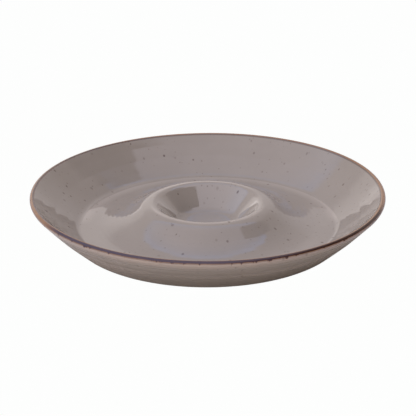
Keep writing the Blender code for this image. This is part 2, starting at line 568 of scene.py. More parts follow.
class NodeSheet:
    """A shader node tree that is filled by short calls."""

    def __init__(self, tree: bpy.types.NodeTree) -> None:
        """Keeps the node tree of a material, a world or a group."""
        self.tree = tree

    def add(self, kind: str, settings: dict | None = None, **inputs: object) -> bpy.types.Node:
        """A new node with its settings made and its inputs filled.

        Args:
            kind: Node type without the ShaderNode prefix.
            settings: Properties of the node.
            **inputs: Values or sockets by input name.

        Returns:
            The node.
        """
        node = self.tree.nodes.new("ShaderNode" + kind)
        for key, value in (settings or {}).items():
            setattr(node, key, value)
        for key, value in inputs.items():
            self.fill(node.inputs[key], value)
        return node

    def fill(self, socket: Socket, value: object) -> None:
        """Links a socket to another one, or sets its own value.

        Args:
            socket: The input.
            value: An output to link, a number, a vector or a colour.
        """
        if isinstance(value, bpy.types.NodeSocket):
            self.tree.links.new(value, socket)
        elif socket.type == "RGBA" and len(value) == 3:
            socket.default_value = (*value, 1.0)
        else:
            socket.default_value = value

    def worked(self, kind: str, operation: str, values: Sequence[object]) -> Outputs:
        """Outputs of a node that works on numbers or vectors.

        Args:
            kind: Math or VectorMath.
            operation: The node's operation.
            values: Values or sockets in the order of its inputs.

        Returns:
            The outputs.
        """
        node = self.add(kind, {"operation": operation})
        for socket, value in zip(node.inputs, values):
            self.fill(socket, value)
        return node.outputs

    def math(self, operation: str, *values: object) -> Socket:
        """Result of a Math node for numbers or sockets in the order of its inputs."""
        return self.worked("Math", operation, values)["Value"]

    def times(self, *values: object) -> Socket:
        """Product of numbers and sockets."""
        return reduce(lambda one, other: self.math("MULTIPLY", one, other), values)

    def vector(self, operation: str, *values: object) -> Socket:
        """Vector that a Vector Math node gives."""
        return self.worked("VectorMath", operation, values)["Vector"]

    def measure(self, operation: str, *values: object) -> Socket:
        """Number that a Vector Math node gives, such as a length or a dot product."""
        return self.worked("VectorMath", operation, values)["Value"]

    def share(self, vector: Socket, axis: Triple) -> Socket:
        """How much of a vector lies along an axis."""
        return self.measure("DOT_PRODUCT", vector, axis)

    def ease(self, value: Socket, low: object, high: object, to: object = 1.0, at: object = 0.0) -> Socket:
        """A value taken smoothly from one level to another between two limits.

        Args:
            value: What is measured.
            low: Where the change starts.
            high: Where it ends.
            to: Level past high.
            at: Level before low.

        Returns:
            The level.
        """
        node = self.add("MapRange", {"interpolation_type": "SMOOTHSTEP"}, Value=value)
        for key, limit in zip(("From Min", "From Max", "To Min", "To Max"), (low, high, at, to)):
            self.fill(node.inputs[key], limit)
        return node.outputs["Result"]

    def fall(self, value: Socket, low: object, high: object) -> Socket:
        """One before low, zero past high and a smooth change between them."""
        return self.ease(value, low, high, 0.0, 1.0)

    def mix(self, share: object, first: object, second: object) -> Socket:
        """Two colours mixed.

        Args:
            share: Share of the second colour.
            first: Colour or socket.
            second: Colour or socket.

        Returns:
            The mixed colour.
        """
        node = self.add("Mix", {"data_type": "RGBA"}, Factor=share)
        self.fill(node.inputs[6], first)
        self.fill(node.inputs[7], second)
        return node.outputs[2]

    def mark(self, name: str) -> Socket:
        """Value of one of the piece's point attributes."""
        return self.add("Attribute", {"attribute_name": name}).outputs["Fac"]

    @cached_property
    def place(self) -> Socket:
        """Object coordinates, in metres."""
        return self.add("TexCoord").outputs["Object"]

    def axes(self, vector: Socket) -> Outputs:
        """The X, Y and Z of a vector."""
        return self.add("SeparateXYZ", Vector=vector).outputs

    def stretched(self, vector: Socket, scale: Triple) -> Socket:
        """Coordinates multiplied axis by axis."""
        return self.add("Mapping", Vector=vector, Scale=scale).outputs["Vector"]

    def noise(self, vector: Socket, scale: object, detail: float = 2.0, roughness: float = 0.5) -> Socket:
        """Cloudy noise from zero to one: features for each metre, its finer layers and their weight."""
        node = self.add("TexNoise", Vector=vector, Scale=scale, Detail=detail, Roughness=roughness)
        return node.outputs[0]


@dataclass(frozen=True)
class Effect:
    """A shader node group that several finishes share: coordinates and numbers in, masks out."""

    name: str
    numbers: tuple[str, ...]
    masks: tuple[str, ...]

    def draw(self, sheet: NodeSheet, vector: Socket, *numbers: Socket) -> list[Socket]:
        """Fills the group.

        Args:
            sheet: The group's tree.
            vector: The coordinates.
            *numbers: Its other inputs, in order.

        Returns:
            Its masks, in order.
        """
        raise NotImplementedError

    def tree(self) -> bpy.types.NodeTree:
        """The group, built the first time that it is asked for.

        Returns:
            The group's tree.
        """
        known = bpy.data.node_groups.get(self.name)
        if known:
            return known
        tree = bpy.data.node_groups.new(self.name, "ShaderNodeTree")
        inputs = {"Vector": "NodeSocketVector", **dict.fromkeys(self.numbers, "NodeSocketFloat")}
        for label, kind in inputs.items():
            tree.interface.new_socket(label, in_out="INPUT", socket_type=kind)
        for label in self.masks:
            tree.interface.new_socket(label, in_out="OUTPUT", socket_type="NodeSocketFloat")
        entry = tree.nodes.new("NodeGroupInput").outputs
        leave = tree.nodes.new("NodeGroupOutput").inputs
        made = self.draw(NodeSheet(tree), *(entry[label] for label in inputs))
        for label, socket in zip(self.masks, made):
            tree.links.new(socket, leave[label])
        return tree

    def on(self, sheet: NodeSheet, **numbers: object) -> Outputs:
        """Masks of the group, placed in a material with its own values."""
        return sheet.add("Group", {"node_tree": self.tree()}, Vector=sheet.place, **numbers).outputs


@dataclass(frozen=True)
class IronSpecks(Effect):
    """Soft dark dots of unlike size that crowd in some places and are missing in others."""

    name: str = "iron specks"
    numbers: tuple[str, ...] = ("Scale", "Size", "Share")
    masks: tuple[str, ...] = ("Mask",)
    smear: float = 0.0007
    smear_scale: float = 700.0
    smallest: float = 0.3
    core: float = 0.35
    faintest: float = 0.25
    crowd_scale: float = 16.0
    crowd_limits: Pair = (0.35, 0.70)
    most: float = 2.2
    fewest: float = 0.25

    def draw(self, sheet: NodeSheet, vector: Socket, *numbers: Socket) -> list[Socket]:
        """One dot in some cells of a cell pattern, its radius drawn from the cell's own number.

        Args:
            sheet: The group's tree.
            vector: The coordinates.
            *numbers: Cells for each metre, largest radius in cells, share of cells in use.

        Returns:
            The dots, one in their middle and zero off them.
        """
        scale, size, share = numbers
        source = sheet.add("TexNoise", Vector=vector, Scale=self.smear_scale, Detail=1.0)
        wobble = sheet.vector("SUBTRACT", source.outputs["Color"], (0.5, 0.5, 0.5))
        moved = sheet.vector("MULTIPLY_ADD", wobble, (self.smear,) * 3, vector)
        flat = {"voronoi_dimensions": "2D"}
        cells = sheet.add("TexVoronoi", flat, Vector=moved, Scale=scale).outputs
        drawn = sheet.add("SeparateColor", Color=cells["Color"]).outputs
        radius = sheet.math("MULTIPLY_ADD", drawn[0], 1.0 - self.smallest, self.smallest)
        radius = sheet.times(radius, size)
        dot = sheet.fall(cells["Distance"], sheet.times(radius, self.core), radius)
        crowd = sheet.noise(vector, self.crowd_scale)
        crowd = sheet.ease(crowd, *self.crowd_limits, self.most, self.fewest)
        used = sheet.math("LESS_THAN", drawn[1], sheet.times(share, crowd))
        square = sheet.math("POWER", drawn[2], 2.0)
        strength = sheet.math("MULTIPLY_ADD", square, 1.0 - self.faintest, self.faintest)
        return [sheet.times(dot, used, strength)]


@dataclass(frozen=True)
class Mottle(Effect):
    """Slow clouds of a glaze's thickness with finer ones laid over them."""

    name: str = "glaze mottle"
    numbers: tuple[str, ...] = ("Scale",)
    masks: tuple[str, ...] = ("Cloud", "Grain")
    finer: float = 8.0
    layers: float = 3.0
    cloud_weight: float = 0.55
    grain_weight: float = 0.6
    limits: Pair = (0.25, 0.75)

    def draw(self, sheet: NodeSheet, vector: Socket, *numbers: Socket) -> list[Socket]:
        """Two noises, the second some times finer than the first.

        Args:
            sheet: The group's tree.
            vector: The coordinates.
            *numbers: Clouds for each metre.

        Returns:
            The slow clouds and the fine grain, both from zero to one.
        """
        (scale,) = numbers
        cloud = sheet.noise(vector, scale, self.layers, self.cloud_weight)
        grain = sheet.noise(vector, sheet.times(scale, self.finer), self.layers, self.grain_weight)
        return [sheet.ease(cloud, *self.limits), sheet.ease(grain, *self.limits)]


@dataclass(frozen=True)
class BrownEdge(Effect):
    """Where the iron of the rim lies: a thin line, tan over the round, dark on one side of the dish, a
    dark that is partly iron and partly painted shade.

    All limits are distances from the rim's crown along the outline, outwards. On some sides of the
    dish the tan reaches further in: by creep towards creep_way, and by overlap where it turns dark.
    There it is also narrow below.
    """

    name: str = "brown edge"
    numbers: tuple[str, ...] = ("Run",)
    masks: tuple[str, ...] = ("Dark", "Tan", "Pale")
    line_from: float = -0.0011
    line_share: float = 0.50
    tan_from: float = 0.0001
    tan_to: float = 0.0043
    creep: float = 0.0016
    creep_way: Triple = (0.7, 0.7, 0.0)
    creep_side: Pair = (-0.06, 0.09)
    overlap: float = 0.0011
    narrow: float = 0.0008
    dark_from: float = 0.0002
    dark_to: float = 0.0026
    iron_and_shade_way: Triple = (0.14, -1.0, 0.0)
    iron_and_shade_side: Pair = (0.050, 0.080)
    pale_from: float = 0.0027
    pale_full: float = 0.0043
    pale_to: float = 0.0145
    soft: float = 0.0003
    along: Triple = (1.0, 1.0, 0.15)
    wave: float = 0.0010
    wave_scale: float = 45.0
    ragged: float = 0.0013
    tear_scale: float = 230.0
    tear_limits: Pair = (0.55, 0.72)

    def past(self, sheet: NodeSheet, run: Socket, limit: float) -> Socket:
        """One where a distance is past a limit, with a soft border."""
        return sheet.ease(run, limit - self.soft, limit + self.soft)

    def draw(self, sheet: NodeSheet, vector: Socket, *numbers: Socket) -> list[Socket]:
        """Limits on the distance from the rim's crown, moved by noise along the rim.

        Args:
            sheet: The group's tree.
            vector: The coordinates.
            *numbers: The distance from the crown along the outline, outwards.

        Returns:
            The dark iron with its painted shade, the tan round it, and the pale glaze that fades below.
        """
        (run,) = numbers
        flat = sheet.stretched(vector, self.along)
        wave = sheet.math("SUBTRACT", sheet.noise(flat, self.wave_scale, 3.0, 0.6), 0.5)
        tear = sheet.ease(sheet.noise(flat, self.tear_scale, 2.0, 0.55), *self.tear_limits)
        moved = sheet.math("MULTIPLY_ADD", wave, self.wave, run)
        torn = sheet.math("SUBTRACT", moved, sheet.times(tear, self.ragged))
        # Painted shade: the dark is laid on the front side of the rim only, partly iron and partly painted
        # shade.
        side = sheet.ease(sheet.share(vector, self.iron_and_shade_way), *self.iron_and_shade_side)
        inner = sheet.ease(sheet.share(vector, self.creep_way), *self.creep_side, self.creep)
        inner = sheet.math("ADD", run, sheet.math("MULTIPLY_ADD", side, self.overlap, inner))
        crown = self.past(sheet, inner, self.tan_from)
        bare = sheet.math("SUBTRACT", self.line_share, sheet.times(crown, self.line_share))
        line = sheet.times(self.past(sheet, inner, self.line_from), bare)
        low = sheet.math("SUBTRACT", 1.0, self.past(sheet, torn, self.dark_to))
        dark = sheet.times(side, self.past(sheet, moved, self.dark_from), low)
        end = sheet.math("MULTIPLY_ADD", side, -self.narrow, self.tan_to)
        tan = sheet.times(crown, sheet.fall(torn, self.dark_to, end))
        pale = sheet.ease(moved, self.pale_from, self.pale_full)
        pale = sheet.times(pale, sheet.fall(moved, self.pale_full, self.pale_to))
        return [sheet.math("MAXIMUM", dark, line), tan, pale]


@dataclass(frozen=True)
class TurningLines(Effect):
    """Fine level lines that the brush and the wheel leave round a wall."""

    name: str = "turning lines"
    numbers: tuple[str, ...] = ("Pitch",)
    masks: tuple[str, ...] = ("Line",)
    level: Triple = (0.004, 0.004, 1.0)
    limits: Pair = (0.32, 0.68)

    def draw(self, sheet: NodeSheet, vector: Socket, *numbers: Socket) -> list[Socket]:
        """Noise that is drawn out level, so that it changes fast with height alone.

        Args:
            sheet: The group's tree.
            vector: The coordinates.
            *numbers: Lines for each metre of height.

        Returns:
            The lines, from zero to one.
        """
        (pitch,) = numbers
        return [sheet.ease(sheet.noise(sheet.stretched(vector, self.level), pitch, 1.0), *self.limits)]


SPECKS = IronSpecks()
MOTTLE = Mottle()
BROWN_EDGE = BrownEdge()
LINES = TurningLines()


# Finishes


@dataclass(frozen=True)
class Finish:
    """A fired surface: its colours, its specks, its brown edge and how smooth it is."""

    name: str
    colour: Colour
    deep: Colour
    smooth: float = 0.04
    uneven: float = 0.02
    refraction: float = 1.50
    speck: Colour = (0.085, 0.048, 0.032)
    speck_share: float = 0.8
    large_specks: Triple = (105.0, 0.19, 0.24)
    small_specks: Triple = (240.0, 0.22, 0.14)
    small_share: float = 0.75
    painted_plum_reflection: Colour = (0.070, 0.046, 0.066)
    brown: Colour = (0.045, 0.016, 0.008)
    brown_right: Pair = (0.0, 0.09)
    brown_back: Pair = (-0.08, 0.0)
    tan: Colour = (0.365, 0.190, 0.090)
    tan_in_dark: float = 0.06
    tan_loss: float = 0.2
    pale: Colour = (0.605, 0.478, 0.360)
    pale_loss: float = 0.4
    edge_scale: float = 55.0

    def layers(self, sheet: NodeSheet) -> dict[str, Socket]:
        """Draws what the finish lays on its shader.

        Args:
            sheet: The material's sheet.

        Returns:
            Sockets by the shader input that they feed.
        """
        raise NotImplementedError

    def material(self) -> bpy.types.Material:
        """A new material with the finish's layers on its Principled shader.

        Returns:
            The material.
        """
        material = bpy.data.materials.new(self.name)
        material.use_nodes = True
        sheet = NodeSheet(material.node_tree)
        inputs = material.node_tree.nodes["Principled BSDF"].inputs
        inputs["IOR"].default_value = self.refraction
        for label, socket in self.layers(sheet).items():
            sheet.fill(inputs[label], socket)
        return material

    def specked(self, sheet: NodeSheet, colour: Socket) -> tuple[Socket, Socket]:
        """Iron specks of two sizes laid into a colour.

        Args:
            sheet: The material's sheet.
            colour: Colour without specks.

        Returns:
            The colour with specks, and their mask.
        """
        large, small = (
            SPECKS.on(sheet, **dict(zip(SPECKS.numbers, kind)))["Mask"]
            for kind in (self.large_specks, self.small_specks)
        )
        mask = sheet.math("MAXIMUM", large, sheet.times(small, self.small_share))
        return sheet.mix(sheet.times(mask, self.speck_share), colour, self.speck), mask

    def edged(self, sheet: NodeSheet, colour: Socket) -> tuple[Socket, Socket]:
        """The brown of the rim and its tan and pale borders laid over a colour.

        Args:
            sheet: The material's sheet.
            colour: Colour of the glaze.

        Returns:
            The new colour, and how much of it is dark.
        """
        edge = BROWN_EDGE.on(sheet, Run=sheet.mark("run"))
        mottle = MOTTLE.on(sheet, Scale=self.edge_scale)
        axes = sheet.axes(sheet.place)
        # Painted reflection: on the front left the dark is plum, a painted bluish reflection; it is brown
        # to the right and at the back.
        aside = sheet.ease(axes["X"], *self.brown_right)
        brown_over_reflection = sheet.math("MAXIMUM", aside, sheet.ease(axes["Y"], *self.brown_back))
        dark = sheet.mix(brown_over_reflection, self.painted_plum_reflection, self.brown)
        dark = sheet.mix(sheet.times(mottle["Cloud"], self.tan_in_dark), dark, self.tan)
        pale = sheet.math("MULTIPLY_ADD", aside, -self.pale_loss, 1.0)
        colour = sheet.mix(sheet.times(edge["Pale"], pale), colour, self.pale)
        tan = sheet.math("MULTIPLY_ADD", mottle["Grain"], -self.tan_loss, 1.0)
        colour = sheet.mix(sheet.times(edge["Tan"], tan), colour, self.tan)
        return sheet.mix(edge["Dark"], colour, dark), edge["Dark"]

    def roughness(self, sheet: NodeSheet, grain: Socket) -> Socket:
        """Roughness made uneven by a grain from zero to one."""
        return sheet.math("MULTIPLY_ADD", grain, self.uneven, self.smooth)

    def skin(self, sheet: NodeSheet, height: Socket, depth: float) -> Socket:
        """Normal of a surface raised by a height from zero to one, where one stands for depth."""
        return sheet.add("Bump", Height=height, Distance=depth).outputs["Normal"]


@dataclass(frozen=True)
class GlossGlaze(Finish):
    """The taupe gloss of the upper face and of the base."""

    cloud_scale: float = 26.0
    cloud_share: float = 0.55
    pool_share: float = 0.5
    lip_break_and_highlight_tone: float = 1.4
    lip_break_and_highlight_share: float = 0.6
    lip_gap: float = 0.009
    lip_ends: Pair = (0.012, 0.032)
    back_part: Pair = (-0.010, 0.008)
    knee_highlight_tone: float = 1.35
    knee_highlight_share: float = 0.55
    ring_shift: Triple = (-0.002, 0.004, 0.0)
    ring_inner: float = 0.098
    ring_crest: float = 0.1095
    ring_outer: float = 0.1105
    dulled: float = 0.10
    peel: float = 0.000005
    peel_scale: float = 260.0

    def painted_knee_highlight(self, sheet: NodeSheet) -> Socket:
        """A painted highlight: a paler ring along the foot of the inner wall, fading towards the mound.

        Args:
            sheet: The material's sheet.

        Returns:
            The ring's share.
        """
        level = sheet.stretched(sheet.place, (1.0, 1.0, 0.0))
        away = sheet.measure("LENGTH", sheet.vector("ADD", level, self.ring_shift))
        rising = sheet.ease(away, self.ring_inner, self.ring_crest, self.knee_highlight_share)
        return sheet.times(rising, sheet.fall(away, self.ring_crest, self.ring_outer))

    def layers(self, sheet: NodeSheet) -> dict[str, Socket]:
        """Mottled taupe that pools darker in the hollows and is specked.

        It breaks paler along the lip, partly as a thinner glaze and partly as a painted highlight, save at
        its two sides. A painted highlight lies along the foot of the back wall, and it lies glassy on the
        back part of the well.

        Args:
            sheet: The material's sheet.

        Returns:
            Sockets by the shader input that they feed.
        """
        mottle = MOTTLE.on(sheet, Scale=self.cloud_scale)
        colour = sheet.mix(sheet.times(mottle["Cloud"], self.cloud_share), self.colour, self.deep)
        colour = sheet.mix(sheet.times(sheet.mark("pooled"), self.pool_share), colour, self.deep)
        depth = sheet.share(sheet.place, (0.0, 1.0, 0.0))
        # Painted highlight: the pale line on the lip's crest is partly a thinner glaze and partly a
        # painted highlight, left out at the lip's two sides.
        off_gap = sheet.math("ABSOLUTE", sheet.math("SUBTRACT", depth, self.lip_gap))
        lip = sheet.times(sheet.mark("thin"), sheet.ease(off_gap, *self.lip_ends, self.lip_break_and_highlight_share))
        colour = sheet.mix(lip, colour, toned(self.colour, self.lip_break_and_highlight_tone))
        behind = sheet.ease(depth, *self.back_part)
        # Painted highlight: the glaze is lightened in a ring along the channel's knee, on the back part
        # only.
        ring = sheet.times(behind, self.painted_knee_highlight(sheet))
        colour = sheet.mix(ring, colour, toned(self.colour, self.knee_highlight_tone))
        colour, stain_and_shade = self.edged(sheet, colour)
        colour, specks = self.specked(sheet, colour)
        rough = self.roughness(sheet, mottle["Grain"])
        for mask in (specks, stain_and_shade):
            rough = sheet.math("MULTIPLY_ADD", mask, self.dulled, rough)
        return {
            "Base Color": colour,
            "Roughness": rough,
            "Coat Weight": sheet.times(behind, sheet.mark("glassy")),
            "Normal": self.skin(sheet, sheet.noise(sheet.place, self.peel_scale, 1.0), self.peel),
        }


@dataclass(frozen=True)
class RimGlaze(Finish):
    """The brown glaze of the rim's round."""

    cloud_scale: float = 30.0
    grain_scale: float = 70.0
    stain_height: float = 0.5
    peel: float = 0.00004

    def layers(self, sheet: NodeSheet) -> dict[str, Socket]:
        """Brown with a ragged edge, mottled along the rim and a little rough.

        Args:
            sheet: The material's sheet.

        Returns:
            Sockets by the shader input that they feed.
        """
        cloud = MOTTLE.on(sheet, Scale=self.cloud_scale)["Cloud"]
        grain = MOTTLE.on(sheet, Scale=self.grain_scale)["Grain"]
        colour, stain_and_shade = self.edged(sheet, sheet.mix(cloud, self.colour, self.deep))
        colour, _ = self.specked(sheet, colour)
        height = sheet.math("ADD", grain, sheet.times(stain_and_shade, self.stain_height))
        return {
            "Base Color": colour,
            "Roughness": self.roughness(sheet, grain),
            "Normal": self.skin(sheet, height, self.peel),
        }


@dataclass(frozen=True)
class BrushedGlaze(Finish):
    """The olive glaze brushed round the outer wall."""

    pitch: float = 380.0
    low_part: Pair = (0.008, 0.046)
    painted_shade_share: float = 0.6
    painted_light_side: Pair = (0.02, 0.11)
    painted_light_share: float = 0.24
    painted_light_low: float = 0.75
    streak_tone: float = 0.72
    streak_share: float = 0.55
    groove: float = 0.00004

    def layers(self, sheet: NodeSheet) -> dict[str, Socket]:
        """Level brush lines over olive, darkened to the foot by painted shade and paler on the left by
        painted light.

        Args:
            sheet: The material's sheet.

        Returns:
            Sockets by the shader input that they feed.
        """
        lines = LINES.on(sheet, Pitch=self.pitch)["Line"]
        low = sheet.ease(sheet.mark("run"), *self.low_part)
        # Painted shade: the olive is mixed towards its deep colour lower down the wall.
        colour = sheet.mix(sheet.times(low, self.painted_shade_share), self.colour, self.deep)
        # Painted light: the left side of the wall, most near the foot, is mixed towards the pale colour.
        left = sheet.ease(sheet.share(sheet.place, (-1.0, 0.0, 0.0)), *self.painted_light_side)
        painted_light = sheet.times(left, sheet.math("MULTIPLY_ADD", low, self.painted_light_low, self.painted_light_share))
        colour = sheet.mix(painted_light, colour, self.pale)
        streak = sheet.times(lines, self.streak_share)
        colour = sheet.mix(streak, colour, toned(self.deep, self.streak_tone))
        colour, _ = self.edged(sheet, colour)
        colour, _ = self.specked(sheet, colour)
        return {
            "Base Color": colour,
            "Roughness": self.roughness(sheet, lines),
            "Normal": self.skin(sheet, lines, self.groove),
        }


@dataclass(frozen=True)
class BareClay(Finish):
    """The unglazed clay of the foot ring."""

    cloud_scale: float = 120.0
    grit: float = 0.00015
    grit_scale: float = 2200.0
    grit_share: float = 0.5

    def layers(self, sheet: NodeSheet) -> dict[str, Socket]:
        """Dry brown clay with a sandy grain and dark specks.

        Args:
            sheet: The material's sheet.

        Returns:
            Sockets by the shader input that they feed.
        """
        mottle = MOTTLE.on(sheet, Scale=self.cloud_scale)
        grit = sheet.noise(sheet.place, self.grit_scale, 2.0, 0.6)
        colour = sheet.mix(mottle["Cloud"], self.colour, self.deep)
        colour = sheet.mix(sheet.times(grit, self.grit_share), colour, self.deep)
        colour, _ = self.specked(sheet, colour)
        return {
            "Base Color": colour,
            "Roughness": self.roughness(sheet, mottle["Grain"]),
            "Normal": self.skin(sheet, grit, self.grit),
        }


TAUPE = GlossGlaze("taupe gloss glaze", (0.410, 0.356, 0.292), (0.374, 0.324, 0.264))
BASE_TAUPE = GlossGlaze("taupe base glaze", (0.360, 0.312, 0.262), (0.300, 0.258, 0.215), 0.12)
BROWN = RimGlaze("brown rim glaze", (0.300, 0.215, 0.165), (0.235, 0.200, 0.185), 0.16, 0.10)
OLIVE = BrushedGlaze("olive wall glaze", (0.432, 0.362, 0.275), (0.380, 0.306, 0.222), 0.24, 0.14)
CLAY = BareClay("bare foot clay", (0.180, 0.120, 0.085), (0.105, 0.068, 0.048), 0.72, 0.16)


# Pieces


@dataclass(frozen=True)
class TurnedPiece:
    """A piece of the platter that is turned about the Z axis."""

    coat: Coat
    finish: Finish
    form: DishForm = DishForm()
    handwork: Handwork = Handwork()
    spacing: float = 0.0012
    seam: float = 0.00001
    sliver: float = 0.0001
    far: float = 0.05
    thinned: int = 4
    fewest: int = 12

    def outline(self) -> TurnedOutline:
        """The piece's outline and what its points carry."""
        raise NotImplementedError

    def build(self) -> bpy.types.Object:
        """Makes the piece in its place, dresses it and lets it stand for its CAD node.

        Returns:
            The piece.
        """
        name = "fired_" + self.coat.node
        mesh = self.outline().mesh(name, self.handwork)
        mesh.materials.append(self.finish.material())
        piece = bpy.data.objects.new(name, mesh)
        bpy.context.scene.collection.objects.link(piece)
        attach(piece, "root")
        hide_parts(self.coat.node)
        return piece

    def rim_run(self) -> Points:
        """How far the ends of the rim's round lie from its crown, along the round.

        Returns:
            The inner end's distance, below zero, and the outer one's.
        """
        ends = self.form.rim_line()[[0, -1]] - self.form.rim_centre
        return (math.pi / 2 - np.arctan2(ends[:, 1], ends[:, 0])) * self.form.rim_round

    def coated(self, face: Points, run: Points, ring: bool, **marks: Points) -> TurnedOutline:
        """A coat's closed outline from its outer face.

        Args:
            face: The outer face, with the clay on its right.
            run: Distance of its points from the rim's crown.
            ring: Whether the outline stays off the axis.
            **marks: Further values of the face's points.

        Returns:
            The outline, with fewer points on the side that lies on the clay. Each of them has the
            marks of the face's point in front of it.
        """
        back = inset(face, self.form.coat)[::-1]
        count = max(self.fewest, len(back) // self.thinned)
        keep = np.unique(np.linspace(0, len(back) - 1, count).astype(int))
        values = {"run": run, **marks}
        spread = {key: np.concatenate((value, value[::-1][keep])) for key, value in values.items()}
        return TurnedOutline(np.concatenate((face, back[keep])), ring, spread)


@dataclass(frozen=True)
class ClayBody(TurnedPiece):
    """The clay itself, of which only the foot ring is left bare."""

    spacing: float = 0.006

    def outline(self) -> TurnedOutline:
        """The clay's outline, coarse where the coats hide it."""
        line = divided(self.form.clay_outline(), self.spacing)
        return TurnedOutline(line, False, {"run": np.full(len(line), self.far)})


@dataclass(frozen=True)
class UpperGlaze(TurnedPiece):
    """The gloss glaze of the well, the mound, the channel and the inner wall."""

    crest_shift: float = 0.0040
    crest_width: float = 0.0013
    pool_radius: float = 0.022
    pool_width: float = 0.010
    glassy_from: float = 0.026
    glassy_to: float = 0.0455
    glassy_fade: float = 0.003
    calm: float = 0.006
    calm_fade: float = 0.010

    def outline(self) -> TurnedOutline:
        """The upper face and where its glaze differs.

        It is thin by exp -(d / crest_width)^2 at a distance d from the lip's crest, a mark that also
        carries the lip's painted highlight, and pooled in the same way at the foot of the well's wall. It
        is glassy on that wall, and rippled up to a calm border along the rim.

        Returns:
            The outline with its marks.
        """
        face = divided(self.form.upper_line(), self.spacing)
        face[-1] += unit(face[-2] - face[-1]) * self.seam
        run = lengths_along(face)
        run += self.rim_run()[0] - run[-1]
        r, z = face.T
        crest = np.hypot(r - self.form.lip_radius - self.crest_shift, z - self.form.lip_height)
        dip = np.hypot(r - self.pool_radius, z - self.form.well_height)
        glassy = np.minimum(r - self.glassy_from, self.glassy_to - r) / self.glassy_fade
        marks = {
            "thin": np.exp(-((crest / self.crest_width) ** 2)),
            "pooled": np.exp(-((dip / self.pool_width) ** 2)),
            "glassy": np.clip(glassy, 0.0, 1.0),
            "rippled": np.clip(-(run + self.calm) / self.calm_fade, 0.0, 1.0),
        }
        return self.coated(face, run, False, **marks)


@dataclass(frozen=True)
class RimBand(TurnedPiece):
    """The brown band over the rim's round."""

    spacing: float = 0.00025

    def outline(self) -> TurnedOutline:
        """The rim's round from wall to wall."""
        face = divided(self.form.rim_line(), self.spacing)
        return self.coated(face, np.linspace(*self.rim_run(), len(face)), True)


@dataclass(frozen=True)
class WallGlaze(TurnedPiece):
    """The olive glaze of the outer wall, down to the bare foot."""

    spacing: float = 0.0008

    def outline(self) -> TurnedOutline:
        """The outer wall, which ends on a straight level line where the foot is wiped bare.

        Returns:
            The outline from the rim's round down.
        """
        line = divided(self.form.outer_line(), self.spacing)
        line[0] += unit(line[1] - line[0]) * self.seam
        end = at_height(line[-2:], self.form.bare_foot)
        face = np.concatenate((line[line[:, 1] > self.form.bare_foot + self.sliver], end[None]))
        return self.coated(face, lengths_along(face) + self.rim_run()[1], True)


@dataclass(frozen=True)
class BaseGlaze(TurnedPiece):
    """The glaze of the underside, inside the foot ring."""

    def outline(self) -> TurnedOutline:
        """The underside, which ends on the foot ring's inner side where it is wiped bare.

        Returns:
            The outline: over the side that lies on the clay and back along the underside.
        """
        line = divided(self.form.under_line(), self.spacing)
        end = at_height(line[-2:], self.form.bare_foot)
        line = np.concatenate((line[line[:, 0] < end[0] - self.sliver], end[None]))
        outline = np.concatenate((inset(line, -self.form.coat), line[::-1]))
        flat = dict.fromkeys(("thin", "pooled", "glassy"), np.zeros(len(outline)))
        return TurnedOutline(outline, False, {"run": np.full(len(outline), self.far), **flat})


# Studio


@dataclass(frozen=True)
class Panel:
    """A flat panel of the studio, bright or dark, drawn on a plan one metre above the dish.

    Its corners run anticlockwise as seen from above, with x to the right and y to the back, and
    leave no hollow corner. Each edge has its own softness, in metres on the plan.
    """

    corners: tuple[Pair, ...]
    colour: Colour
    soft: tuple[float, ...]
    lowest: float = 0.02

    def laid_over(self, sheet: NodeSheet, way: Socket, under: Socket) -> Socket:
        """The surround's light with this panel in front of it.

        A direction d meets the plan at (d.x, d.y) / d.z. The panel is where that point lies to the
        left of every edge, going round from corner to corner.

        Args:
            sheet: The world's sheet.
            way: Direction that is looked in.
            under: Light behind the panel.

        Returns:
            The light.
        """
        rise = sheet.axes(way)["Z"]
        mask = sheet.math("GREATER_THAN", rise, self.lowest)
        for start, end, soft in zip(self.corners, self.corners[1:] + self.corners[:1], self.soft):
            along = Vector(end) - Vector(start)
            inward = Vector((-along.y, along.x)).normalized()
            reach = sheet.share(way, (*inward, -inward.dot(Vector(start))))
            mask = sheet.times(mask, sheet.ease(sheet.math("DIVIDE", reach, rise), -soft, soft))
        return sheet.mix(mask, under, self.colour)


